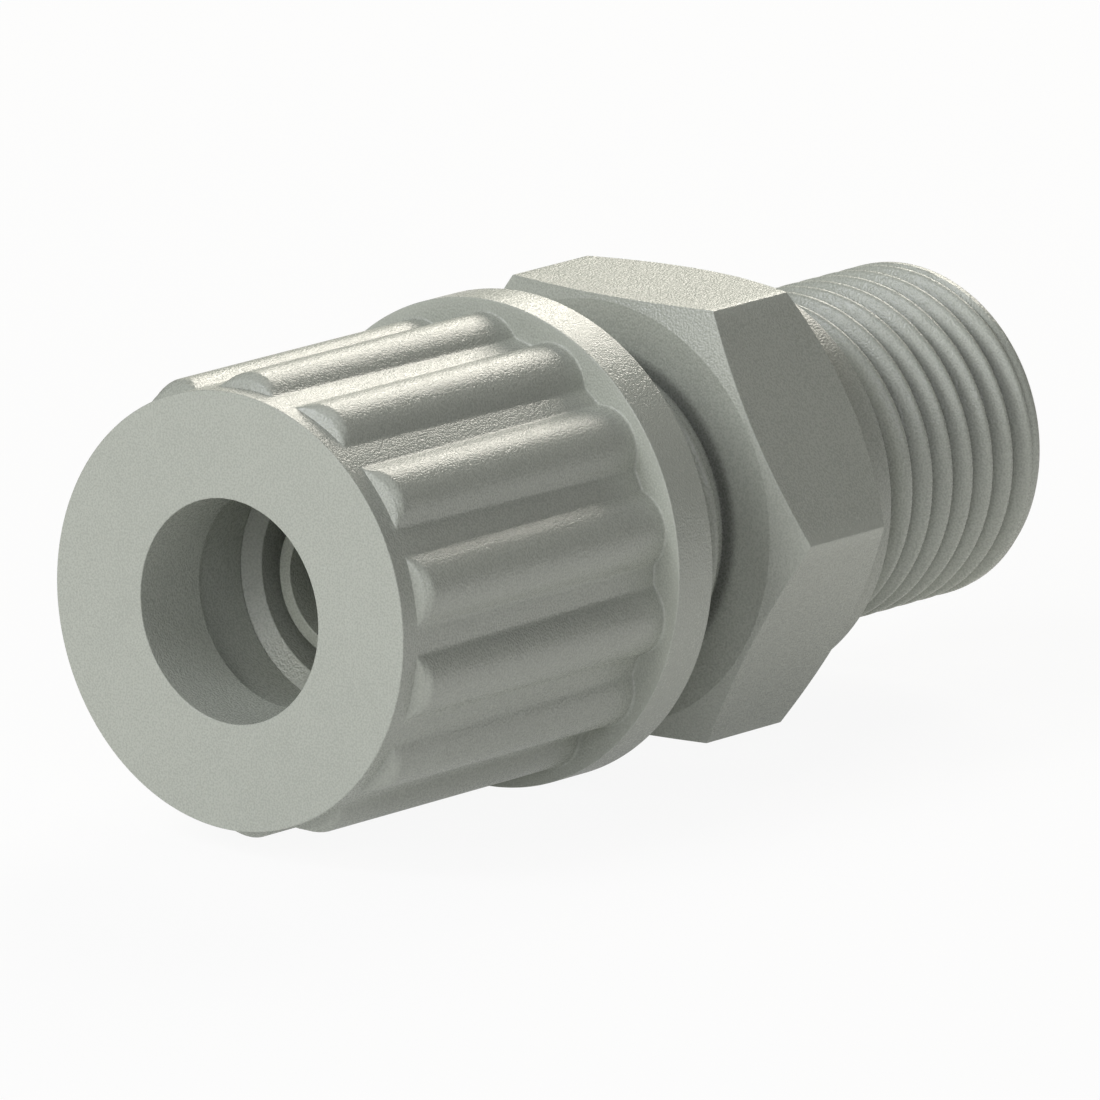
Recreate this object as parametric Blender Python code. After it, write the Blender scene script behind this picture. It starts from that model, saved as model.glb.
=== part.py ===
"""Straight hose fitting, a moulded plastic male connector for a soft hose.

Three pieces on one axis. The body is a hexagon with a parallel pipe thread on its far side and,
on its near side, a threaded stub with a hose spigot in the middle. The clamp ring goes over the
hose on the spigot. The ribbed union nut screws onto the stub and presses the ring home.

Metres, +Z up. The axis is +X, from the hose side to the port side, with a flat of the hexagon
up and another down. The origin is on the axis, half way along the fitting. Stations are
distances along the axis from the nut's front face, with the nut where it is at rest.
"""

import math

import bmesh
import bpy
from mathutils import Vector

MM = 0.001

# The hose that the fitting takes
HOSE_RADIUS = 4.0 * MM
HOSE_WALL = 1.0 * MM

# Clamp ring
RING_HOSE_CLEARANCE = 0.2 * MM
RING_WALL = 1.4 * MM
RING_LENGTH = 3.8 * MM
RING_LEAD_IN_HEIGHT = 0.65 * MM
RING_LEAD_IN_LENGTH = 0.45 * MM
RING_REAR_TAPER = 0.35 * MM

# Gaps that keep the pieces free of each other
SEAT_GAP = 0.3 * MM
THREAD_GAP = 0.3 * MM

# Threaded stub that the nut screws onto, its thread pitch and the turn left to tighten it by
STUB_SHOULDER = 0.9 * MM
UNION_THREAD_PITCH = 1.25 * MM
TIGHTEN_TURNS = 1.0
STUB_SHOWN = 5.0 * MM
STUB_CHAMFER = 0.4 * MM
STUB_RELIEF_DEPTH = 0.3 * MM
STUB_RELIEF_LENGTH = 0.6 * MM

# Union nut, inside
NUT_HOSE_CLEARANCE = 0.3 * MM
NUT_FRONT_WALL = 3.5 * MM
NUT_RELIEF_LENGTH = 2.8 * MM
NUT_MOUTH_CHAMFER = 0.35 * MM

# Union nut, outside
NUT_LENGTH = 17.25 * MM
NUT_WALL = 1.45 * MM
NUT_DRAFT = 0.15 * MM
RIB_COUNT = 14
RIB_HEIGHT = 0.7 * MM
RIB_BEAD_RADIUS = 1.6 * MM
RIB_START = 0.85 * MM
RIB_RAMP = 0.65 * MM
FLANGE_RIM = 0.5 * MM
FLANGE_WIDTH = 2.05 * MM

# Hose spigot and waterway
SPIGOT_LENGTH = 5.25 * MM
SPIGOT_STRETCH = 0.1 * MM
SPIGOT_TAPER = 0.2 * MM
SPIGOT_WALL = 0.55 * MM
PORT_BORE_RADIUS = 3.5 * MM
PORT_BORE_DEPTH = 19.0 * MM

# Hexagon
HEX_ACROSS_FLATS = 16.9 * MM
HEX_WIDTH = 6.2 * MM
HEX_FRONT_STEP = 0.2 * MM
HEX_FRONT_ANGLE = math.radians(22.5)
HEX_REAR_STEP = 0.05 * MM
HEX_REAR_ANGLE = math.radians(38.0)

# Round collar behind the hexagon, whose rear face seats on the port
COLLAR_STEP = 0.52 * MM
COLLAR_LENGTH = 1.75 * MM

# Neck and port thread
NECK_LENGTH = 2.0 * MM
NECK_RADIUS = 5.7 * MM
PORT_THREAD_RADIUS = 6.58 * MM
PORT_THREAD_LENGTH = 9.3 * MM
PORT_THREAD_CHAMFER = 0.35 * MM

# How far a cutter reaches past what it cuts
OVERCUT = 1.0 * MM

# Points nearer to each other than this are made one
MERGE_DISTANCE = 0.001 * MM

# Facets: steps in one full turn, and points on each side of a rib
TURN_STEPS = 96
FLANK_POINTS = 3
CREST_POINTS = 2

# Radii that follow from the sizes above, from the hose outwards
NUT_BORE_RADIUS = HOSE_RADIUS + NUT_HOSE_CLEARANCE
RING_BORE_RADIUS = HOSE_RADIUS + RING_HOSE_CLEARANCE
RING_MOUTH_RADIUS = RING_BORE_RADIUS + RING_LEAD_IN_HEIGHT
RING_OUTER_RADIUS = RING_BORE_RADIUS + RING_WALL
UNION_THREAD_RADIUS = RING_OUTER_RADIUS + STUB_SHOULDER
STUB_RELIEF_RADIUS = UNION_THREAD_RADIUS - STUB_RELIEF_DEPTH
NUT_CAVITY_RADIUS = RING_OUTER_RADIUS + SEAT_GAP
NUT_THREAD_RADIUS = UNION_THREAD_RADIUS + THREAD_GAP
NUT_WAIST_RADIUS = NUT_THREAD_RADIUS + NUT_WALL
NUT_FACE_RADIUS = NUT_WAIST_RADIUS + NUT_DRAFT
RIB_CREST_RADIUS = NUT_WAIST_RADIUS + RIB_HEIGHT
FLANGE_RADIUS = RIB_CREST_RADIUS + FLANGE_RIM
SPIGOT_TIP_RADIUS = HOSE_RADIUS - HOSE_WALL + SPIGOT_STRETCH
SPIGOT_BASE_RADIUS = SPIGOT_TIP_RADIUS + SPIGOT_TAPER
SPIGOT_BORE_RADIUS = SPIGOT_TIP_RADIUS - SPIGOT_WALL
HEX_CORNER_RADIUS = HEX_ACROSS_FLATS / 2 / math.cos(math.radians(30.0))
COLLAR_RADIUS = HEX_ACROSS_FLATS / 2 - COLLAR_STEP

# Stations that follow from the sizes above
RAMP_END = RIB_START + RIB_RAMP
FLANGE_FRONT = NUT_LENGTH - FLANGE_WIDTH
NUT_SEAT = NUT_FRONT_WALL + NUT_RELIEF_LENGTH
RING_FRONT = NUT_SEAT + SEAT_GAP
RING_REAR = RING_FRONT + RING_LENGTH
STUB_FRONT = RING_REAR + TIGHTEN_TURNS * UNION_THREAD_PITCH + SEAT_GAP
SPIGOT_TIP = STUB_FRONT - SPIGOT_LENGTH
HEX_FRONT = NUT_LENGTH + STUB_SHOWN
HEX_MIDDLE = HEX_FRONT + HEX_WIDTH / 2
HEX_REAR = HEX_FRONT + HEX_WIDTH
PORT_SEAT = HEX_REAR + COLLAR_LENGTH
THREAD_START = PORT_SEAT + NECK_LENGTH
THREAD_END = THREAD_START + PORT_THREAD_LENGTH
CENTRE = THREAD_END / 2


def clear_scene():
    """Remove every object that the file opened with."""
    for old in list(bpy.data.objects):
        bpy.data.objects.remove(old, do_unlink=True)


def plastic(name, colour, roughness):
    """A plain moulded plastic."""
    material = bpy.data.materials.new(name)
    material.use_nodes = True
    shader = material.node_tree.nodes["Principled BSDF"]
    shader.inputs["Base Color"].default_value = (*colour, 1.0)
    shader.inputs["Roughness"].default_value = roughness
    shader.inputs["Metallic"].default_value = 0.0
    return material


def add_object(name, bm, station, parent, material=None):
    """Put a bmesh on the axis as an object whose own origin is at the station."""
    bmesh.ops.recalc_face_normals(bm, faces=bm.faces)
    mesh = bpy.data.meshes.new(name)
    bm.to_mesh(mesh)
    bm.free()
    mesh.shade_smooth()
    mesh.set_sharp_from_angle(angle=math.radians(25.0))
    piece = bpy.data.objects.new(name, mesh)
    bpy.context.scene.collection.objects.link(piece)
    piece.parent = parent
    piece.location.x = station
    if material:
        mesh.materials.append(material)
    else:
        piece.hide_render = True
        piece.display_type = "WIRE"
    return piece


def turned(profile, datum):
    """Spin a closed profile of (station, radius) about the axis, measured from the datum."""
    bm = bmesh.new()
    verts = [bm.verts.new((station - datum, 0.0, radius)) for station, radius in profile]
    edges = [bm.edges.new(pair) for pair in zip(verts, verts[1:] + verts[:1])]
    bmesh.ops.spin(bm, geom=verts + edges, axis=(1.0, 0.0, 0.0), cent=(0.0, 0.0, 0.0),
                   angle=2 * math.pi, steps=TURN_STEPS, use_merge=True)
    bmesh.ops.remove_doubles(bm, verts=bm.verts, dist=MERGE_DISTANCE)
    bmesh.ops.dissolve_degenerate(bm, edges=bm.edges, dist=MERGE_DISTANCE)
    return bm


def boolean(piece, operation, cutter):
    """Add an exact Boolean modifier."""
    modifier = piece.modifiers.new(operation.lower(), "BOOLEAN")
    modifier.operation = operation
    modifier.solver = "EXACT"
    modifier.object = cutter


def bead_edge(reach):
    """Angle from a rib's crest at which its round bead crosses a circle about the axis."""
    bead_centre = RIB_CREST_RADIUS - RIB_BEAD_RADIUS
    cosine = (bead_centre ** 2 + reach ** 2 - RIB_BEAD_RADIUS ** 2) / (2 * bead_centre * reach)
    return math.acos(max(-1.0, min(1.0, cosine)))


def bead_reach(angle):
    """Distance from the axis to the outside of a rib's bead, or 0 beside the bead."""
    bead_centre = RIB_CREST_RADIUS - RIB_BEAD_RADIUS
    across = bead_centre * math.sin(angle)
    if abs(across) >= RIB_BEAD_RADIUS:
        return 0.0
    return bead_centre * math.cos(angle) + math.sqrt(RIB_BEAD_RADIUS ** 2 - across ** 2)


def rib_offsets(limit):
    """Angles about one rib's crest at which the nut is sampled, and half way to the next rib.

    The bead is cut off at the radius limit, and one sample stays on the cut's corner.
    """
    half_pitch = math.pi / RIB_COUNT
    foot = min(bead_edge(NUT_WAIST_RADIUS), 0.95 * half_pitch)
    corner = min(max(bead_edge(limit), 0.25 * foot), 0.85 * foot)
    flank = [foot + (corner - foot) * step / FLANK_POINTS for step in range(FLANK_POINTS)]
    crest = [corner * (1 - step / CREST_POINTS) for step in range(CREST_POINTS + 1)]
    half = flank + crest
    return [-angle for angle in half] + half[-2::-1] + [half_pitch]


def nut_section(limit, reach):
    """One turn of (angle, radius) at the samples that suit the limit, a rib standing at angle 0."""
    pitch = 2 * math.pi / RIB_COUNT
    offsets = rib_offsets(limit)
    return [(rib * pitch + offset, reach(offset)) for rib in range(RIB_COUNT) for offset in offsets]


def ribbed(station, limit):
    """The nut's outside at a station: a drafted waist with a bead on it for each rib."""
    waist = NUT_FACE_RADIUS - NUT_DRAFT * station / FLANGE_FRONT
    return station, nut_section(limit, lambda offset: max(waist, min(bead_reach(offset), limit)))


def plain(station, radius):
    """A circle at a station, with the same samples as a ribbed section."""
    return station, nut_section(RIB_CREST_RADIUS, lambda offset: radius)


def nut_sections():
    """The nut's sections in order: its front, its outside, its rear, and back through the bore."""
    return [
        plain(0.0, NUT_BORE_RADIUS),
        plain(0.0, NUT_FACE_RADIUS),
        ribbed(RIB_START, NUT_WAIST_RADIUS),
        ribbed((RIB_START + RAMP_END) / 2, (NUT_FACE_RADIUS + RIB_CREST_RADIUS) / 2),
        ribbed(RAMP_END, RIB_CREST_RADIUS),
        ribbed(FLANGE_FRONT, RIB_CREST_RADIUS),
        plain(FLANGE_FRONT, FLANGE_RADIUS),
        plain(NUT_LENGTH, FLANGE_RADIUS),
        plain(NUT_LENGTH, NUT_THREAD_RADIUS + NUT_MOUTH_CHAMFER),
        plain(NUT_LENGTH - NUT_MOUTH_CHAMFER, NUT_THREAD_RADIUS),
        plain(RING_REAR, NUT_THREAD_RADIUS),
        plain(RING_REAR, NUT_CAVITY_RADIUS),
        plain(NUT_SEAT, NUT_CAVITY_RADIUS),
        plain(NUT_SEAT, RING_MOUTH_RADIUS),
        plain(NUT_FRONT_WALL, RING_MOUTH_RADIUS),
        plain(NUT_FRONT_WALL, NUT_BORE_RADIUS),
    ]


def make_union_nut(frame, material):
    """Loft the nut's sections into one closed skin. A rib stands at the top."""
    bm = bmesh.new()
    loops = []
    for station, section in nut_sections():
        loops.append([bm.verts.new(Vector((station, radius * math.sin(angle), radius * math.cos(angle))))
                      for angle, radius in section])
    for near, far in zip(loops, loops[1:] + loops[:1]):
        for index in range(len(near)):
            bm.faces.new((near[index - 1], near[index], far[index], far[index - 1]))
    return add_object("union_nut", bm, -CENTRE, frame, material)


def make_clamp_ring(frame, material):
    """Turn the ring: a lead-in for the hose at its front, a slim taper where it meets the stub."""
    profile = [
        (RING_FRONT, RING_MOUTH_RADIUS),
        (RING_FRONT, RING_OUTER_RADIUS),
        (RING_REAR - RING_REAR_TAPER, RING_OUTER_RADIUS),
        (RING_REAR, RING_OUTER_RADIUS - RING_REAR_TAPER),
        (RING_REAR, RING_BORE_RADIUS),
        (RING_FRONT + RING_LEAD_IN_LENGTH, RING_BORE_RADIUS),
    ]
    return add_object("clamp_ring", turned(profile, RING_FRONT), RING_FRONT - CENTRE, frame, material)


def hexagon_prism():
    """A hexagon bar as wide as the fitting's, with flats up and down, about the port seat."""
    bm = bmesh.new()
    corners = [math.radians(60.0 * corner + 30.0) for corner in range(6)]
    verts = [bm.verts.new((HEX_REAR - PORT_SEAT, HEX_CORNER_RADIUS * math.sin(turn),
                           HEX_CORNER_RADIUS * math.cos(turn)))
             for turn in corners]
    outline = bm.faces.new(verts)
    lifted = bmesh.ops.extrude_face_region(bm, geom=[outline])["geom"]
    moved = [item for item in lifted if isinstance(item, bmesh.types.BMVert)]
    bmesh.ops.translate(bm, verts=moved, vec=(-HEX_WIDTH, 0.0, 0.0))
    return bm


def make_body(frame, material):
    """Cut the hexagon's corners back, join the turned shaft to it and bore the waterway."""
    front_circle = HEX_ACROSS_FLATS / 2 - HEX_FRONT_STEP
    rear_circle = HEX_ACROSS_FLATS / 2 - HEX_REAR_STEP
    blank_radius = HEX_CORNER_RADIUS + OVERCUT
    front_slope = math.tan(HEX_FRONT_ANGLE)
    rear_slope = math.tan(HEX_REAR_ANGLE)
    blank = [
        (HEX_FRONT - OVERCUT, 0.0),
        (HEX_FRONT - OVERCUT, front_circle - OVERCUT / front_slope),
        (HEX_FRONT + (blank_radius - front_circle) * front_slope, blank_radius),
        (HEX_REAR - (blank_radius - rear_circle) * rear_slope, blank_radius),
        (HEX_REAR + OVERCUT, rear_circle - OVERCUT / rear_slope),
        (HEX_REAR + OVERCUT, 0.0),
    ]
    shaft = [
        (SPIGOT_TIP, 0.0),
        (SPIGOT_TIP, SPIGOT_TIP_RADIUS),
        (STUB_FRONT, SPIGOT_BASE_RADIUS),
        (STUB_FRONT, UNION_THREAD_RADIUS - STUB_CHAMFER),
        (STUB_FRONT + STUB_CHAMFER, UNION_THREAD_RADIUS),
        (HEX_FRONT - STUB_RELIEF_LENGTH, UNION_THREAD_RADIUS),
        (HEX_FRONT - STUB_RELIEF_LENGTH, STUB_RELIEF_RADIUS),
        (HEX_MIDDLE, STUB_RELIEF_RADIUS),
        (HEX_MIDDLE, COLLAR_RADIUS),
        (PORT_SEAT, COLLAR_RADIUS),
        (PORT_SEAT, NECK_RADIUS),
        (THREAD_START, NECK_RADIUS),
        (THREAD_START, PORT_THREAD_RADIUS - PORT_THREAD_CHAMFER),
        (THREAD_START + PORT_THREAD_CHAMFER, PORT_THREAD_RADIUS),
        (THREAD_END - PORT_THREAD_CHAMFER, PORT_THREAD_RADIUS),
        (THREAD_END, PORT_THREAD_RADIUS - PORT_THREAD_CHAMFER),
        (THREAD_END, 0.0),
    ]
    bore_step = THREAD_END - PORT_BORE_DEPTH
    bore_cone = PORT_BORE_RADIUS - SPIGOT_BORE_RADIUS
    waterway = [
        (SPIGOT_TIP - OVERCUT, 0.0),
        (SPIGOT_TIP - OVERCUT, SPIGOT_BORE_RADIUS),
        (bore_step - bore_cone, SPIGOT_BORE_RADIUS),
        (bore_step, PORT_BORE_RADIUS),
        (THREAD_END + OVERCUT, PORT_BORE_RADIUS),
        (THREAD_END + OVERCUT, 0.0),
    ]
    seat = PORT_SEAT - CENTRE
    body = add_object("body", hexagon_prism(), seat, frame, material)
    boolean(body, "INTERSECT", add_object("hexagon_blank", turned(blank, PORT_SEAT), seat, frame))
    boolean(body, "UNION", add_object("turned_shaft", turned(shaft, PORT_SEAT), seat, frame))
    boolean(body, "DIFFERENCE", add_object("waterway_core", turned(waterway, PORT_SEAT), seat, frame))
    return body


def main():
    clear_scene()
    frame = bpy.data.objects.new("fitting_axis", None)
    bpy.context.scene.collection.objects.link(frame)
    make_body(frame, plastic("body plastic", (0.42, 0.44, 0.39), 0.5))
    make_clamp_ring(frame, plastic("ring plastic", (0.42, 0.44, 0.39), 0.5))
    make_union_nut(frame, plastic("nut plastic", (0.42, 0.44, 0.39), 0.5))


main()
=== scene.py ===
"""Looks of the straight hose fitting: the dressed body, clamp ring and union nut, and the stage.

Lengths in the code are in millimetres until a mesh is made. X runs along the fitting, and the angle
round the axis is counted from +Y to +Z, so a right-hand thread climbs along +X as the angle grows.
"""
from math import atan2, cos, pi, radians, sin, tan

import bpy
import numpy as np
from bpy.props import FloatProperty, FloatVectorProperty, IntProperty, PointerProperty
from mathutils import Matrix, Vector


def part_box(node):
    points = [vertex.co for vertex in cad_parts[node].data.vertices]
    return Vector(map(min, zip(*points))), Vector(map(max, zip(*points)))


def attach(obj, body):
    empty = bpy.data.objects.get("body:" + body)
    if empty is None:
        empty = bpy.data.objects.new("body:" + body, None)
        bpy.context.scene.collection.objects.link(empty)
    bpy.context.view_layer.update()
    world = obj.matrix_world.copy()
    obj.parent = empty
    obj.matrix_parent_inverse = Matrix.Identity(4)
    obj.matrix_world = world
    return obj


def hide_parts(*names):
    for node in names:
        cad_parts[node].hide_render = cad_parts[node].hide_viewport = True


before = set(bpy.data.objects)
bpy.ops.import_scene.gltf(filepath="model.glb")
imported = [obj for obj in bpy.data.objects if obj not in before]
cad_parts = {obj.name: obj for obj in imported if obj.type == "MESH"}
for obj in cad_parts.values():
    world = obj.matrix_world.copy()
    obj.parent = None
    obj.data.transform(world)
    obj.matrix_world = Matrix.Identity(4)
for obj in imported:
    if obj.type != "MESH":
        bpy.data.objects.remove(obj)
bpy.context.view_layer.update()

bl_info = {
    "name": "Straight hose fitting",
    "version": (1, 0, 0),
    "blender": (4, 5, 0),
    "location": "View3D > Sidebar > Fitting",
    "description": "Builds a moulded hose fitting round its packed frame",
    "category": "Add Mesh",
}

MM = 0.001
TURN = 2 * pi
TOP = pi / 2
SHARP_ANGLE = radians(40)
THREAD_HALF_ANGLE = radians(27.5)  # from a thread's side to square across the axis
THREAD_BEND = 0.1373  # radius of a thread's crest and root, in pitches
THREAD_END_SLOPE = 1.3  # how the pipe thread rises from the neck
THREAD_END_BLEND = 0.08  # softness where a thread meets its ends
RELIEF_SLOPE = 1.5  # how the stub's thread runs out into its relief
STUB_END_CHAMFER = 0.4
FLOOR_GAP = 0.02  # between the nut's flange and the floor
FLOOR_HALF = 1.5  # half the floor's side, in metres
AIM_POINT = (-0.80730, 0.56579, -1.19822)  # what the camera looks at
SAME = 1e-9  # lengths and angles closer than this count as equal


def node_box(node):
    """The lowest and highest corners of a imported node, in millimetres."""
    low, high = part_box(node)
    return low / MM, high / MM


BODY_LOW, BODY_HIGH = node_box("body")
RING_LOW, RING_HIGH = node_box("clamp_ring")
NUT_LOW, NUT_HIGH = node_box("union_nut")


def length(name, value, description):
    """A length property, from its default in millimetres."""
    return FloatProperty(name=name, description=description, default=value * MM, min=0,
                         precision=5, unit="LENGTH", subtype="DISTANCE")


def turn(name, value, description):
    """An angle property, from its default in degrees."""
    return FloatProperty(name=name, description=description, default=radians(value), min=0,
                         max=radians(89), subtype="ANGLE")


def share(name, value, description):
    """A property between 0 and 1."""
    return FloatProperty(name=name, description=description, default=value, min=0, max=1,
                         subtype="FACTOR")


def power(name, value, description):
    """A lamp's power, in watts."""
    return FloatProperty(name=name, description=description, default=value, min=0, unit="POWER")


def colour(name, value, description):
    """A colour property, in linear values."""
    return FloatVectorProperty(name=name, description=description, default=value, size=3,
                               min=0, max=1, subtype="COLOR")


def in_mm(group):
    """The lengths of a property group, by name, in millimetres."""
    names = [p.identifier for p in group.bl_rna.properties if getattr(p, "unit", "") == "LENGTH"]
    return {name: getattr(group, name) / MM for name in names}


class FittingBodySizes(bpy.types.PropertyGroup):
    """Sizes of the body, along X from the tip of the hose spigot."""
    spigot_length: length("Spigot length", 5.25, "From the spigot's tip to the stub's face")
    spigot_tip_radius: length("Spigot tip radius", 3.1, "Outer radius at the tip")
    spigot_base_radius: length("Spigot base radius", 3.3, "Outer radius at the stub")
    spigot_bore_radius: length("Spigot bore radius", 2.55, "Waterway through the spigot")
    stub_length: length("Stub length", 10.3, "From the stub's face to the hexagon")
    stub_radius: length("Stub thread radius", 6.5, "Crest of the thread for the nut")
    stub_relief_radius: length("Relief radius", 6.2, "Plain groove next to the hexagon")
    stub_relief_length: length("Relief length", 0.6, "Length of that groove")
    root_groove: length("Root groove", 0.2, "Fine undercut where the stub meets the hexagon")
    stub_pitch: length("Union pitch", 1.25, "Pitch of the thread between stub and nut")
    hexagon_length: length("Hexagon length", 6.2, "Length of the spanner flats")
    hexagon_corner: length("Hexagon corner rounding", 0.12, "Radius on the long corners")
    front_circle: length("Front circle", 8.25, "Where the hexagon's front chamfer starts")
    rear_circle: length("Rear circle", 8.4, "Where its rear chamfer ends")
    front_angle: turn("Front angle", 22.5, "Front chamfer, from the face")
    rear_angle: turn("Rear angle", 38.0, "Rear chamfer, from the face")
    collar_length: length("Collar length", 1.75, "Round collar behind the hexagon")
    collar_radius: length("Collar radius", 7.93, "Radius of the collar")
    neck_length: length("Neck length", 2.0, "Plain neck behind the collar")
    neck_radius: length("Neck radius", 5.7, "Radius of the neck")
    pipe_radius: length("Pipe thread radius", 6.58, "Crest of the port thread")
    pipe_pitch: length("Pipe pitch", 1.265, "Pitch of the port thread")
    pipe_start: length("Pipe thread start", 0.36, "From the neck's end to a crest at the side")
    pipe_land: length("Thread end land", 0.5, "Plain ring at the thread's end")
    pipe_end_chamfer: length("Thread end chamfer", 0.2, "Chamfer at the port end")
    port_bore_radius: length("Port bore radius", 3.5, "Waterway on the port side")
    bore_step_start: length("Bore step start", 14.85, "Where the waterway starts to widen")
    bore_step_end: length("Bore step end", 15.8, "Where it is wide")
    edge: length("Edge rounding", 0.05, "Radius on the moulded edges")


class FittingRingSizes(bpy.types.PropertyGroup):
    """Sizes of the clamp ring."""
    bore_radius: length("Bore radius", 4.2, "Hole that the hose goes through")
    mouth_radius: length("Mouth radius", 4.85, "Wide end of the lead-in chamfer")
    mouth_depth: length("Mouth depth", 0.45, "Depth of the lead-in chamfer")
    rear_taper: length("Rear taper", 0.35, "Chamfer that the nut's cavity centres")
    edge: length("Edge rounding", 0.06, "Radius on the ring's edges")


class FittingNutSizes(bpy.types.PropertyGroup):
    """Sizes of the union nut, along X from its front face."""
    bore_radius: length("Bore radius", 4.3, "Mouth for the hose")
    front_wall: length("Front wall", 3.5, "Thickness of the mouth's wall")
    recess_radius: length("Recess radius", 4.85, "Step behind the mouth")
    recess_end: length("Recess end", 6.57, "Seat that presses on the ring")
    cavity_radius: length("Cavity radius", 5.9, "Room for the ring")
    cavity_end: length("Cavity end", 10.4, "Where the rear bore starts")
    thread_root: length("Rear bore radius", 6.8, "Bore round the stub, at the inner thread's root")
    mouth_chamfer: length("Rear chamfer", 0.35, "Chamfer at the rear bore's mouth")
    face_radius: length("Waist radius in front", 8.4, "Outer radius at the front face")
    waist_radius: length("Waist radius behind", 8.25, "Outer radius at the flange")
    crest_radius: length("Rib crest radius", 8.95, "Outer radius of the ribs")
    bead_radius: length("Rib bead radius", 1.6, "Radius of each rib's round back")
    foot_blend: length("Rib foot blend", 0.12, "Soft joint between rib and waist")
    ramp_start: length("Ramp start", 0.85, "Where the ribs' front ramps start")
    ramp_end: length("Ramp end", 1.2, "Where they reach the crest")
    ramp_blend: length("Ramp blend", 0.45, "Softness between ramp and crest")
    flange_front: length("Flange front", 15.2, "Front face of the flange")
    edge: length("Edge rounding", 0.04, "Radius on the nut's edges")
    ribs: IntProperty(name="Ribs", description="Grip ribs round the nut", default=14, min=3)


class FittingPlasticLook(bpy.types.PropertyGroup):
    """Colour and finish of the moulded plastic."""
    body_colour: colour("Body colour", (0.42, 0.44, 0.39), "Plastic of the body")
    ring_colour: colour("Ring colour", (0.42, 0.44, 0.39), "Plastic of the clamp ring")
    nut_colour: colour("Nut colour", (0.42, 0.44, 0.39), "Plastic of the union nut")
    roughness: share("Roughness", 0.28, "Satin finish of the moulded skin")
    grain: length("Grain depth", 0.020, "Depth of the fine moulded grain")


class FittingStageLook(bpy.types.PropertyGroup):
    """Camera, floor and lamps."""
    camera_lens: FloatProperty(name="Lens", description="Focal length in millimetres",
                               default=718.27, min=1, unit="CAMERA")
    camera_distance: FloatProperty(name="Camera distance", description="From the aim point",
                                   default=0.836693, min=0.01, precision=6, unit="LENGTH")
    camera_azimuth: FloatProperty(name="Azimuth", description="Direction of view round Z",
                                  default=radians(38.5481), subtype="ANGLE")
    camera_elevation: FloatProperty(name="Elevation", description="Height of the camera",
                                    default=radians(13.0979), subtype="ANGLE")
    camera_roll: FloatProperty(name="Roll", description="Turn of the camera about its view",
                               default=radians(0.6685), subtype="ANGLE")
    table_white: share("Table white", 0.92, "White of the floor to the camera, less its shadow")
    table_light: share("Table light", 0.29, "Soft light from the floor, as on a light table")
    front_light: power("Front light", 0.83, "Power of the low lamp in front")
    high_light: power("High front light", 0.95, "Power of the high lamp in front")
    near_light: power("Near light", 0.50, "Power of the lamp beside the camera")
    top_light: power("Top light", 0.24, "Power of the lamp overhead")
    back_light: power("Back light", 1.42, "Power of the warm lamp behind")
    edge_light: power("Edge light", 0.18, "Power of the warm lamp low behind")


def smooth_least(a, b, width):
    """The lesser of two arrays, with the kink where they meet rounded over the given width: where
    they differ by less than that, it drops below the lesser by the square of what is left."""
    near = np.maximum(width - np.abs(a - b), 0) / np.maximum(width, SAME)
    return np.minimum(a, b) - near * near * width / 4


def smooth_most(a, b, width):
    """The greater of two arrays, with the kink where they meet rounded over the given width."""
    return -smooth_least(-a, -b, width)


def profile_rows(columns, points, steps=4):
    """Rows of an outline with rounded corners, as (rows, columns, 2) of x and radius.

    Each point is (x, radius, rounding), and x and radius may differ from column to column. The
    first and last points only give the direction there and make no row. A rounded corner becomes
    an arc that touches both of its sides: from the tangent point it goes radius * sin(turn) along
    the first side and radius * (1 - cos(turn)) across it. A row just outside each end of the arc
    keeps the flat sides flat. A corner with no rounding is one row.
    """
    corners = np.stack([
        np.stack([np.broadcast_to(np.asarray(v, float), columns) for v in p[:2]], -1)
        for p in points])
    before, after = corners[1:-1] - corners[:-2], corners[2:] - corners[1:-1]
    before_length = np.linalg.norm(before, axis=-1, keepdims=True)
    after_length = np.linalg.norm(after, axis=-1, keepdims=True)
    corners = corners[1:-1]
    rows = []
    for i, point in enumerate(points[1:-1]):
        if point[2] <= 0:
            rows.append(corners[i][None])
            continue
        way_in = before[i] / before_length[i]
        way_out = after[i] / after_length[i]
        turn = np.arccos(np.clip((way_in * way_out).sum(-1, keepdims=True), -1, 1))
        turn = np.maximum(turn, 1e-4)
        tangent = np.minimum(point[2] * np.tan(turn / 2),
                             0.3 * np.minimum(before_length[i], after_length[i]))
        radius = tangent / np.tan(turn / 2)
        across = (way_out - np.cos(turn) * way_in) / np.sin(turn)
        start = corners[i] - tangent * way_in
        part = np.linspace(0, 1, steps + 1)[:, None, None] * turn
        arc = start + radius * (np.sin(part) * way_in + (1 - np.cos(part)) * across)
        guard = 0.35 * tangent
        first, last = start - guard * way_in, arc[-1] + guard * way_out
        rows.append(np.concatenate([first[None], arc, last[None]]))
    return np.concatenate(rows)


def closed(points):
    """An outline's points, with the last also first and the first also last for profile_rows."""
    return [points[-1], *points, points[0]]


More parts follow.
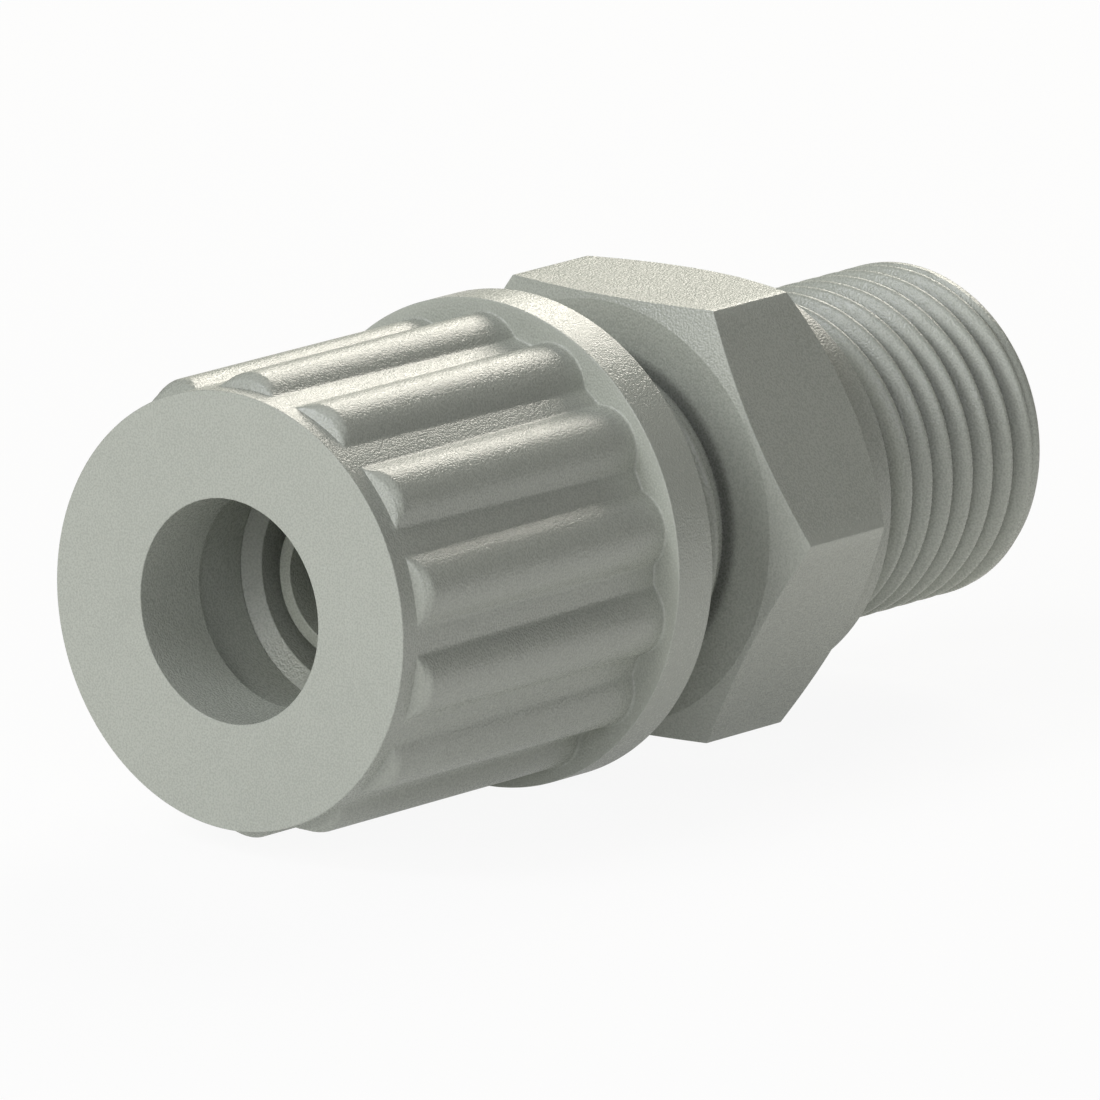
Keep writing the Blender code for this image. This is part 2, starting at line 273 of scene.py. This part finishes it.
def thread_shape(x, angle, origin, pitch, crest):
    """Radius of an outer thread: crest less the depth at the distance to the nearest crest line.

    The depth, in pitches, follows a round crest, a straight side at half of 55 degrees and a round
    root of the same radius as the crest.
    """
    away = (x - origin) / pitch - angle / TURN
    away = np.abs(away - np.round(away))
    half, bend = THREAD_HALF_ANGLE, THREAD_BEND
    arc_end, arc_drop = bend * cos(half), bend * (1 - sin(half))
    whole = 2 * arc_drop + (0.5 - 2 * arc_end) / tan(half)
    crest_part = bend - np.sqrt(np.maximum(bend ** 2 - away ** 2, 0))
    root_part = whole - bend + np.sqrt(np.maximum(bend ** 2 - (0.5 - away) ** 2, 0))
    side_part = arc_drop + (away - arc_end) / tan(half)
    lower_part = np.where(away > 0.5 - arc_end, root_part, side_part)
    depth = np.where(away < arc_end, crest_part, lower_part)
    return crest - pitch * depth


def thread_lines(around_bend=5, along_side=2):
    """Places within one pitch where a thread needs a line of vertices, counted from the crest."""
    arc_end = THREAD_BEND * cos(THREAD_HALF_ANGLE)
    crest = np.linspace(-arc_end, arc_end, around_bend + 1)
    side = np.linspace(arc_end, 0.5 - arc_end, along_side + 1)[1:-1]
    return np.concatenate([crest, side, crest + 0.5, side + 0.5])


class Skin:
    """A closed surface round the X axis, gathered ring by ring in the order of its outline."""

    def __init__(self, angles):
        self.angles = angles
        self.columns = len(angles)
        self.points = []
        self.triangles = []
        self.count = 0
        self.first = None
        self.last = None

    def place(self, x, radius, angle):
        """Adds the vertices x, radius cos(angle), radius sin(angle) and returns their numbers."""
        x, radius, angle = np.broadcast_arrays(x, radius, angle)
        points = np.stack([x, radius * np.cos(angle), radius * np.sin(angle)], -1)
        self.points.append(points.reshape(-1, 3))
        numbers = self.count + np.arange(x.size).reshape(x.shape)
        self.count += x.size
        return numbers

    def span(self, lower, upper):
        """Joins two rings of vertex numbers with two triangles to a column."""
        lower_next, upper_next = np.roll(lower, -1), np.roll(upper, -1)
        self.triangles.append(np.concatenate([np.stack([lower, lower_next, upper_next], -1),
                                              np.stack([lower, upper_next, upper], -1)]))

    def rings(self, rows):
        """Adds rows of (x, radius) to the surface, each joined to the one before it."""
        numbers = self.place(rows[..., 0], rows[..., 1], self.angles[None])
        if self.last is None:
            self.first = numbers[0]
        else:
            self.span(self.last, numbers[0])
        lower, upper = numbers[:-1], numbers[1:]
        lower_next, upper_next = np.roll(lower, -1, 1), np.roll(upper, -1, 1)
        self.triangles.append(np.stack([lower, lower_next, upper_next], -1).reshape(-1, 3))
        self.triangles.append(np.stack([lower, upper_next, upper], -1).reshape(-1, 3))
        self.last = numbers[-1]

    def helix(self, start, end, origin, pitch, radius_at, lines):
        """Adds a thread between the ring laid last, at x = start, and a new one at x = end.

        Its vertex lines follow the thread: x = origin + pitch * (turn + place in the pitch +
        angle / full turn), with the radius that radius_at gives there. Where a line runs past an
        end, its vertices become those of the end's ring, and triangles that lose a side are left
        out. Start may lie beyond end, for a thread inside a bore.
        """
        opening, closing = self.last, self.place(end, radius_at(end, self.angles), self.angles)
        low, high = min(start, end), max(start, end)
        ring_low, ring_high = (opening, closing) if start < end else (closing, opening)
        turns = np.arange(np.floor((low - origin) / pitch) - 2,
                          np.ceil((high - origin) / pitch) + 2)
        places = np.sort((turns[:, None] + lines).ravel())
        x = origin + pitch * (places[:, None] + self.angles / TURN)
        near = 0.2 * pitch / len(lines)
        below, above = x <= low + near, x >= high - near
        free = ~(below | above)
        numbers = np.where(below, ring_low, np.where(above, ring_high, 0))
        free_angle = np.broadcast_to(self.angles, x.shape)[free]
        numbers[free] = self.place(x[free], radius_at(x[free], free_angle), free_angle)
        past_end = np.full((len(lines), 1), ring_high[0])
        wrapped = np.concatenate([numbers[len(lines):, :1], past_end])
        numbers_next = np.concatenate([numbers[:, 1:], wrapped], 1)
        a, b, c, d = numbers[:-1], numbers_next[:-1], numbers_next[1:], numbers[1:]
        both = np.concatenate([np.stack(sides, -1).reshape(-1, 3)
                               for sides in ((a, b, c), (a, c, d))])
        if start > end:
            both = both[:, ::-1]
        whole = (both != np.roll(both, 1, 1)).all(1)
        self.triangles.append(both[whole])
        self.last = closing

    def finish(self, name, material):
        """Closes the outline, makes the mesh object in metres and gives it the material."""
        self.span(self.last, self.first)
        points, triangles = np.concatenate(self.points), np.concatenate(self.triangles)
        mesh = bpy.data.meshes.new(name)
        mesh.vertices.add(len(points))
        mesh.vertices.foreach_set("co", (points * MM).ravel())
        mesh.loops.add(triangles.size)
        mesh.loops.foreach_set("vertex_index", triangles.ravel())
        mesh.polygons.add(len(triangles))
        mesh.polygons.foreach_set("loop_start", np.arange(0, triangles.size, 3))
        mesh.update(calc_edges=True)
        if mesh.validate():
            raise RuntimeError(f"{name} has faces that had to be mended")
        mesh.shade_smooth()
        mesh.set_sharp_from_angle(angle=SHARP_ANGLE)
        mesh.materials.append(material)
        piece = bpy.data.objects.new(name, mesh)
        bpy.context.scene.collection.objects.link(piece)
        return piece


def hexagon_columns(apothem, corner, along=26, around=6):
    """Angles of the body's columns: even ones on each flat, close ones round each long corner."""
    centre = (apothem - corner) / cos(pi / 6)
    reach = atan2(corner * sin(pi / 6), centre + corner * cos(pi / 6))
    flat = np.linspace(reach, pi / 3 - reach, along, endpoint=False)
    bend = np.linspace(-reach, reach, around, endpoint=False)
    sector = np.concatenate([bend, flat])
    return (np.arange(6)[:, None] * pi / 3 + sector).ravel()


def hexagon_radius(angle, apothem, corner):
    """Radius of a hexagon with a flat on top: apothem / cos(angle from the flat's middle), and near
    a corner the circle of its rounding, centre * cos + sqrt(corner^2 - (centre * sin)^2)."""
    centre = (apothem - corner) / cos(pi / 6)
    reach = atan2(corner * sin(pi / 6), centre + corner * cos(pi / 6))
    from_corner = np.mod(angle + pi / 6, pi / 3) - pi / 6
    from_flat = np.mod(angle, pi / 3) - pi / 6
    rounded = centre * np.cos(from_corner) + np.sqrt(
        np.maximum(corner ** 2 - (centre * np.sin(from_corner)) ** 2, 0))
    return np.where(np.abs(from_corner) < reach + SAME, rounded, apothem / np.cos(from_flat))


def rib_columns(ribs, crest, waist, bead, foot_blend):
    """Angles of the nut's columns: close ones at the feet of the ribs, wider ones elsewhere."""
    centre = crest - bead
    foot = np.arccos((centre ** 2 + waist ** 2 - bead ** 2) / (2 * centre * waist))
    spread = 1.5 * foot_blend / waist
    half = pi / ribs
    side = np.concatenate([np.linspace(0, foot - spread, 7, endpoint=False),
                           np.linspace(foot - spread, foot + spread, 6, endpoint=False),
                           np.linspace(foot + spread, half, 2, endpoint=False)])
    one = np.concatenate([-half * np.ones(1), -side[:0:-1], side])
    return np.sort((TOP + np.arange(ribs)[:, None] * 2 * half + one).ravel() % TURN)


def nut_radius(x, angle, size, ribs):
    """Outer radius of the nut: the tapered waist plus the height of the ribs over it.

    The waist's radius goes evenly from the face to the flange. A rib's back is a circle of the
    bead radius about centre, so its radius is centre * cos + sqrt(bead^2 - (centre * sin)^2) at
    the angle from the rib's middle, blended into the waist at its foot. Its height is capped by
    the ramp, which starts at nought at the ramp's start and reaches the crest at its end, with a
    soft joint between.
    """
    taper = (size["waist_radius"] - size["face_radius"]) / size["flange_front"]
    waist = size["face_radius"] + taper * x
    centre = size["crest_radius"] - size["bead_radius"]
    away = np.mod(angle - TOP + pi / ribs, TURN / ribs) - pi / ribs
    inside = size["bead_radius"] ** 2 - (centre * np.sin(away)) ** 2
    bead = centre * np.cos(away) + np.sqrt(np.maximum(inside, 0))
    height = smooth_most(waist, bead, size["foot_blend"]) - waist
    run = size["ramp_end"] - size["ramp_start"]
    ramp = (x - size["ramp_start"]) * (size["crest_radius"] - size["face_radius"]) / run
    blend = np.clip(ramp, 1e-6, size["ramp_blend"])
    return waist + np.clip(smooth_least(height, ramp, blend), 0, None)


class Nodes:
    """The node tree of one material or world. add() makes every node in it."""

    def __init__(self, owner):
        owner.use_nodes = True
        self.tree = owner.node_tree
        self.tree.nodes.clear()

    def add(self, kind, settings=None, sockets=None, output=0):
        """Makes a node, sets its settings, then its sockets, and returns one of its outputs."""
        node = self.tree.nodes.new("ShaderNode" + kind)
        for name, value in (settings or {}).items():
            setattr(node, name, value)
        for name, value in (sockets or {}).items():
            if isinstance(value, Socket):
                self.tree.links.new(value.socket, node.inputs[name])
            else:
                node.inputs[name].default_value = value
        return Socket(self, node.outputs[output]) if len(node.outputs) else None


class Socket:
    """An output of a node. Arithmetic on it adds Math nodes."""

    def __init__(self, nodes, socket):
        self.nodes, self.socket = nodes, socket

    def output(self, name):
        """Another output of the same node."""
        return Socket(self.nodes, self.socket.node.outputs[name])

    def math(self, operation, *others):
        """Adds a Math node with this value first and the others after it."""
        return self.nodes.add("Math", {"operation": operation}, dict(enumerate((self, *others))))

    def reflected(self, operation, other):
        """Adds a Math node with the other value first."""
        return self.nodes.add("Math", {"operation": operation}, {0: other, 1: self})

    def __add__(self, other):
        return self.math("ADD", other)

    def __radd__(self, other):
        return self.reflected("ADD", other)

    def __sub__(self, other):
        return self.math("SUBTRACT", other)

    def __rsub__(self, other):
        return self.reflected("SUBTRACT", other)

    def __mul__(self, other):
        return self.math("MULTIPLY", other)

    def __rmul__(self, other):
        return self.reflected("MULTIPLY", other)

    def __truediv__(self, other):
        return self.math("DIVIDE", other)

    def __rtruediv__(self, other):
        return self.reflected("DIVIDE", other)


def moulded_plastic(name, look, tone, offset, worn_from, worn_to, shaded_corner=None, thread_shading=None):
    """Satin moulded plastic: a fine grain in tone, bump and roughness, faint mottling of the
    colour, and outer edges beyond the radius worn_from that handling has polished and paled, up to
    worn_to. Painted shade darkens the colour round the inner corner at shaded_corner, an (x,
    radius).
    On a thread beyond the x of thread_shading, an (x, inner radius, outer radius), painted shade
    darkens the colour towards the inner radius and a painted highlight pales it at the crests."""
    material = bpy.data.materials.new(name)
    nodes = Nodes(material)
    place = nodes.add("TexCoord", output="Object")
    in_mm_place = nodes.add("VectorMath", {"operation": "MULTIPLY_ADD"},
                            {0: place, 1: (1 / MM,) * 3, 2: offset})
    grain = nodes.add("TexNoise", None, {"Vector": in_mm_place, "Scale": 12.5, "Detail": 0.0})
    pores = nodes.add("TexNoise", None, {"Vector": in_mm_place, "Scale": 6.0, "Detail": 1.0})
    mottle = nodes.add("TexNoise", None, {"Vector": in_mm_place, "Scale": 0.45, "Detail": 3.0})
    flow = nodes.add("TexNoise", None, {"Vector": in_mm_place, "Scale": 1.6, "Detail": 2.0})
    parts = nodes.add("SeparateXYZ", None, {0: place})
    across, above = parts.output("Y") / MM, parts.output("Z") / MM
    reach = (across * across + above * above).math("SQRT")
    worn = nodes.add("MapRange", {"interpolation_type": "SMOOTHSTEP"}, {
        "Value": reach + (flow - 0.5) * 0.15, "From Min": worn_from, "From Max": worn_to})
    shade = (1 + (mottle - 0.5) * 0.07) * (1 + (grain - 0.5) * 0.26) * (1 + (flow - 0.5) * 0.05)
    along = parts.output("X") / MM
    # Painted shade: the colour darkens within about 0.6 mm of the inner corner, in place of the
    # shadow that gathers there.
    if shaded_corner:
        off_x, off_r = along - shaded_corner[0], reach - shaded_corner[1]
        shade = shade * nodes.add("MapRange", {"interpolation_type": "SMOOTHSTEP"}, {
            "Value": (off_x * off_x + off_r * off_r).math("SQRT"),
            "From Min": 0.08, "From Max": 0.60, "To Min": 0.45, "To Max": 1.0})
    # Painted shade and highlight on a thread: the colour darkens towards the inner radius and pales
    # towards the crest, in place of the light and shadow across its grooves.
    if thread_shading:
        depth = nodes.add("MapRange", {"interpolation_type": "SMOOTHSTEP"}, {
            "Value": reach, "From Min": thread_shading[1], "From Max": thread_shading[2],
            "To Min": 0.40, "To Max": -0.10})
        shade = shade * (1 - depth * along.math("GREATER_THAN", thread_shading[0]))
    base = nodes.add("VectorMath", {"operation": "SCALE"}, {0: tone, "Scale": shade})
    pale = tuple(min(1, 1.12 * c + 0.01) for c in tone)
    base = nodes.add("Mix", {"data_type": "RGBA"},
                     {0: worn * 0.5, 6: base, 7: (*pale, 1)}, output=2)
    rough = look.roughness + (grain - 0.5) * 0.34 + (mottle - 0.5) * 0.10 - worn * 0.06
    height = grain + pores * 0.4 + flow * 0.3
    bump = nodes.add("Bump", None, {"Strength": 1.0, "Distance": look.grain, "Height": height})
    shader = nodes.add("BsdfPrincipled", None, {
        "Base Color": base, "Roughness": rough.math("MAXIMUM", 0.05), "Normal": bump, "IOR": 1.49})
    nodes.add("OutputMaterial", None, {"Surface": shader})
    material.diffuse_color = (*tone, 1)
    return material


class FITTING_OT_body(bpy.types.Operator):
    """Build the body with its spigot, both threads and the chamfered hexagon"""
    bl_idname = "fitting.body"
    bl_label = "Body"

    def execute(self, context):
        group = context.scene.fitting_body
        size, look = in_mm(group), context.scene.fitting_plastic
        apothem, edge, tip = BODY_HIGH.z, size["edge"], BODY_LOW.x
        corner = size["hexagon_corner"]
        skin = Skin(hexagon_columns(apothem, corner))
        stub = tip + size["spigot_length"]
        relief = stub + size["stub_length"] - size["stub_relief_length"]
        hexagon = stub + size["stub_length"]
        shoulder = hexagon + size["hexagon_length"]
        seat = shoulder + size["collar_length"]
        pipe = seat + size["neck_length"]
        first_crest = pipe + size["pipe_start"]
        groove = size["root_groove"]
        end = BODY_HIGH.x
        hex_radius = hexagon_radius(skin.angles, apothem, corner)
        front_chamfer = (hex_radius - size["front_circle"]) * tan(group.front_angle)
        rear_chamfer = (hex_radius - size["rear_circle"]) * tan(group.rear_angle)
        lines = thread_lines()

        def stub_thread(x, angle):
            form = thread_shape(x, angle, stub, size["stub_pitch"], size["stub_radius"])
            chamfer = size["stub_radius"] - STUB_END_CHAMFER + (x - stub)
            form = smooth_least(form, chamfer, THREAD_END_BLEND)
            to_relief = RELIEF_SLOPE * np.maximum(relief - x, 0)
            return np.clip(form, size["stub_relief_radius"] - to_relief,
                           size["stub_relief_radius"] + to_relief)

        def pipe_thread(x, angle):
            form = thread_shape(x, angle, first_crest, size["pipe_pitch"], size["pipe_radius"])
            to_land = (end - size["pipe_land"] - x) / tan(THREAD_HALF_ANGLE)
            land = size["pipe_radius"] - np.maximum(to_land, 0)
            form = np.minimum(smooth_most(form, land, THREAD_END_BLEND), size["pipe_radius"])
            chamfer = size["pipe_radius"] - size["pipe_end_chamfer"] + (end - x)
            form = smooth_least(form, chamfer, THREAD_END_BLEND)
            rise = size["neck_radius"] + (x - pipe) * THREAD_END_SLOPE
            return smooth_least(form, rise, np.clip(x - pipe, 1e-6, 0.1))

        skin.rings(profile_rows(skin.columns, [
            (tip + 2, size["spigot_bore_radius"], 0),
            (tip, size["spigot_bore_radius"], edge),
            (tip, size["spigot_tip_radius"], 0.12),
            (stub, size["spigot_base_radius"], 0.25),
            (stub, size["stub_radius"], 0)]))
        stub_mouth = np.stack([np.full(skin.columns, stub), stub_thread(stub, skin.angles)], -1)
        skin.rings(stub_mouth[None])
        skin.helix(stub, relief, stub, size["stub_pitch"], stub_thread, lines)
        skin.rings(profile_rows(skin.columns, [
            (relief, size["stub_relief_radius"], 0),
            (hexagon - 1.5 * groove, size["stub_relief_radius"], edge),
            (hexagon - groove, size["stub_relief_radius"] - groove, 0),
            (hexagon, size["stub_relief_radius"] - groove, 0),
            (hexagon, size["front_circle"], edge),
            (hexagon + front_chamfer, hex_radius, edge),
            (shoulder - rear_chamfer, hex_radius, edge),
            (shoulder, size["rear_circle"], edge),
            (shoulder, size["collar_radius"], 0.1),
            (seat, size["collar_radius"], edge),
            (seat, size["neck_radius"], 0.15),
            (pipe, size["neck_radius"], 0),
            (pipe + 1, size["pipe_radius"], 0)]))
        skin.helix(pipe, end, first_crest, size["pipe_pitch"], pipe_thread, lines)
        skin.rings(profile_rows(skin.columns, [
            (end, size["neck_radius"], 0),
            (end, size["port_bore_radius"], 0.15),
            (tip + size["bore_step_end"], size["port_bore_radius"], 0.2),
            (tip + size["bore_step_start"], size["spigot_bore_radius"], 0.2),
            (tip, size["spigot_bore_radius"], 0)]))
        # The body's colour carries painted shade at the corner where the stub meets the hexagon and
        # deep in the port thread's grooves, and a painted highlight on the thread's crests.
        piece = skin.finish("body_moulding", moulded_plastic(
            "body_plastic", look, tuple(look.body_colour), offset=(3.1, 8.7, 1.9),
            worn_from=9.35, worn_to=9.72, shaded_corner=(hexagon, size["stub_relief_radius"]),
            thread_shading=(pipe, size["neck_radius"], 6.4)))
        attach(piece, "stem")
        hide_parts("body")
        return {"FINISHED"}


class FITTING_OT_ring(bpy.types.Operator):
    """Build the clamp ring with its lead-in chamfer"""
    bl_idname = "fitting.ring"
    bl_label = "Clamp ring"

    def execute(self, context):
        size = in_mm(context.scene.fitting_ring)
        look = context.scene.fitting_plastic
        front, rear, outer = RING_LOW.x, RING_HIGH.x, RING_HIGH.z
        edge, taper = size["edge"], size["rear_taper"]
        skin = Skin(np.arange(160) * TURN / 160)
        skin.rings(profile_rows(skin.columns, closed([
            (front, size["mouth_radius"], edge),
            (front, outer, edge),
            (rear - taper, outer, edge),
            (rear, outer - taper, edge),
            (rear, size["bore_radius"], edge),
            (front + size["mouth_depth"], size["bore_radius"], edge)])))
        piece = skin.finish("clamp_ring_moulding", moulded_plastic(
            "ring_plastic", look, tuple(look.ring_colour), offset=(-6.3, 2.2, 5.1),
            worn_from=5.5, worn_to=5.62))
        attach(piece, "ring")
        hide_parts("clamp_ring")
        return {"FINISHED"}


class FITTING_OT_nut(bpy.types.Operator):
    """Build the union nut with its ramped grip ribs and flange"""
    bl_idname = "fitting.nut"
    bl_label = "Union nut"

    def execute(self, context):
        group = context.scene.fitting_nut
        size, ribs = in_mm(group), group.ribs
        look = context.scene.fitting_plastic
        face, rear, flange_radius, edge = NUT_LOW.x, NUT_HIGH.x, NUT_HIGH.z, size["edge"]
        flange = face + size["flange_front"]
        skin = Skin(rib_columns(ribs, size["crest_radius"], size["waist_radius"],
                                size["bead_radius"], size["foot_blend"]))
        stations = np.concatenate([
            np.linspace(0.3, size["ramp_start"], 3),
            np.linspace(size["ramp_start"], size["ramp_end"] + 0.5, 18)[1:],
            np.linspace(size["ramp_end"] + 0.5, size["flange_front"] - 0.3, 8)[1:]])
        outside = [(face + x, nut_radius(x, skin.angles, size, ribs), 0) for x in stations]
        at_flange = nut_radius(size["flange_front"], skin.angles, size, ribs)
        skin.rings(profile_rows(skin.columns, closed([
            (face, size["bore_radius"], edge),
            (face, size["face_radius"], edge),
            *outside,
            (flange, at_flange, 0.12),
            (flange, flange_radius, edge),
            (rear, flange_radius, edge),
            (rear, size["thread_root"] + size["mouth_chamfer"], edge),
            (rear - size["mouth_chamfer"], size["thread_root"], 0),
            (face + size["cavity_end"], size["thread_root"], edge),
            (face + size["cavity_end"], size["cavity_radius"], edge),
            (face + size["recess_end"], size["cavity_radius"], edge),
            (face + size["recess_end"], size["recess_radius"], edge),
            (face + size["front_wall"], size["recess_radius"], edge),
            (face + size["front_wall"], size["bore_radius"], edge)])))
        piece = skin.finish("union_nut_moulding", moulded_plastic(
            "nut_plastic", look, tuple(look.nut_colour), offset=(1.7, -4.4, 9.8),
            worn_from=8.8, worn_to=9.5))
        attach(piece, "nut")
        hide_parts("union_nut")
        return {"FINISHED"}


class FITTING_OT_stage(bpy.types.Operator):
    """Build the floor, the world, the lamps and the camera"""
    bl_idname = "fitting.stage"
    bl_label = "Stage"

    def execute(self, context):
        look, scene = context.scene.fitting_stage, context.scene
        self.floor(look)
        self.world(scene)
        self.lamp("front_lamp", (-0.46, 0.0, 0.21), 0.24, look.front_light, (1.0, 1.0, 0.96))
        self.lamp("high_lamp", (-0.33, 0.15, 0.37), 0.20, look.high_light, (0.92, 0.94, 1.0))
        self.lamp("near_lamp", (-0.36, -0.30, 0.20), 0.20, look.near_light, (0.93, 0.93, 1.0))
        self.lamp("top_lamp", (0.0, 0.0, 0.52), 0.20, look.top_light, (1.0, 0.95, 0.92))
        self.lamp("back_lamp", (0.38, 0.15, 0.285), 0.28, look.back_light, (1.0, 0.95, 0.85))
        self.lamp("edge_lamp", (0.38, 0.28, 0.16), 0.26, look.edge_light, (1.0, 1.0, 0.86))
        self.camera(scene, look)
        scene.view_settings.view_transform = "Standard"
        return {"FINISHED"}

    def floor(self, look):
        """A pale plane under the flange, softly lit from beneath: white to the camera, save for the
        object's soft shadow."""
        x, y = np.meshgrid((-FLOOR_HALF, FLOOR_HALF), (-FLOOR_HALF, FLOOR_HALF))
        z = np.full_like(x, (NUT_LOW.z - FLOOR_GAP) * MM)
        mesh = bpy.data.meshes.new("floor")
        mesh.from_pydata(np.stack([x, y, z], -1).reshape(-1, 3).tolist(), [], [(0, 1, 3, 2)])
        material = bpy.data.materials.new("floor_paint")
        nodes = Nodes(material)
        matt = nodes.add("BsdfDiffuse", None, {"Color": (0.85, 0.85, 0.84, 1)})
        glow = nodes.add("Emission", None, {"Color": (1, 1, 1, 1), "Strength": 1.0})
        seen = nodes.add("LightPath", output="Is Camera Ray")
        lit = look.table_light + seen * (look.table_white - look.table_light)
        surface = nodes.add("MixShader", None, {0: lit, 1: matt, 2: glow})
        nodes.add("OutputMaterial", None, {"Surface": surface})
        mesh.materials.append(material)
        plane = bpy.data.objects.new("floor", mesh)
        bpy.context.scene.collection.objects.link(plane)

    def world(self, scene):
        """A white backdrop that only the camera sees, so that it adds no light."""
        scene.world = bpy.data.worlds.new("studio")
        nodes = Nodes(scene.world)
        seen = nodes.add("LightPath", output="Is Camera Ray")
        light = nodes.add("Background", None, {"Color": (1, 1, 1, 1), "Strength": seen})
        nodes.add("OutputWorld", None, {"Surface": light})

    def lamp(self, name, spot, side, power, tint):
        """A square softbox that faces the middle of the fitting."""
        data = bpy.data.lights.new(name, "AREA")
        data.shape, data.size, data.energy, data.color = "SQUARE", side, power, tint
        lamp = bpy.data.objects.new(name, data)
        lamp.location = spot
        lamp.rotation_euler = Vector(spot).to_track_quat("Z", "Y").to_euler()
        bpy.context.scene.collection.objects.link(lamp)

    def camera(self, scene, look):
        """A long lens at the photograph's angle, turned by the roll about its line of view."""
        azimuth, elevation, roll = look.camera_azimuth, look.camera_elevation, look.camera_roll
        forward = Vector((cos(azimuth) * cos(elevation), sin(azimuth) * cos(elevation),
                          -sin(elevation)))
        level = forward.cross(Vector((0, 0, 1))).normalized()
        right = level * cos(roll) + level.cross(forward) * sin(roll)
        up = right.cross(forward)
        aim = Vector(AIM_POINT) * MM
        data = bpy.data.cameras.new("camera")
        data.sensor_width, data.lens = 36, look.camera_lens
        data.clip_start, data.clip_end = 0.01, 10
        camera = bpy.data.objects.new("camera", data)
        turned = Matrix((right, up, -forward)).transposed().to_4x4()
        camera.matrix_world = Matrix.Translation(aim - forward * look.camera_distance) @ turned
        scene.collection.objects.link(camera)
        scene.camera = camera


OPERATORS = (FITTING_OT_body, FITTING_OT_ring, FITTING_OT_nut, FITTING_OT_stage)
GROUPS = {
    "fitting_body": FittingBodySizes,
    "fitting_ring": FittingRingSizes,
    "fitting_nut": FittingNutSizes,
    "fitting_plastic": FittingPlasticLook,
    "fitting_stage": FittingStageLook,
}


class FITTING_PT_panel(bpy.types.Panel):
    """Sizes, colours and build steps of the fitting"""
    bl_idname = "FITTING_PT_panel"
    bl_label = "Hose fitting"
    bl_space_type = "VIEW_3D"
    bl_region_type = "UI"
    bl_category = "Fitting"

    def draw(self, context):
        for operator in OPERATORS:
            self.layout.operator(operator.bl_idname)
        for name in GROUPS:
            group = getattr(context.scene, name)
            box = self.layout.box()
            for item in group.bl_rna.properties:
                if item.identifier not in ("rna_type", "name"):
                    box.prop(group, item.identifier)


def register():
    """Registers the classes and gives the scene its groups of sizes and colours."""
    for cls in (*GROUPS.values(), *OPERATORS, FITTING_PT_panel):
        bpy.utils.register_class(cls)
    for name, group in GROUPS.items():
        setattr(bpy.types.Scene, name, PointerProperty(type=group))


def unregister():
    """Takes the groups and classes out again."""
    for name in GROUPS:
        delattr(bpy.types.Scene, name)
    for cls in reversed((*GROUPS.values(), *OPERATORS, FITTING_PT_panel)):
        bpy.utils.unregister_class(cls)


def corners(bounds):
    return [[float(value) for value in corner] for corner in bounds]


def main():
    register()
    bpy.ops.fitting.body()
    bpy.ops.fitting.ring()
    bpy.ops.fitting.nut()
    bpy.ops.fitting.stage()


if __name__ == "__main__":
    main()
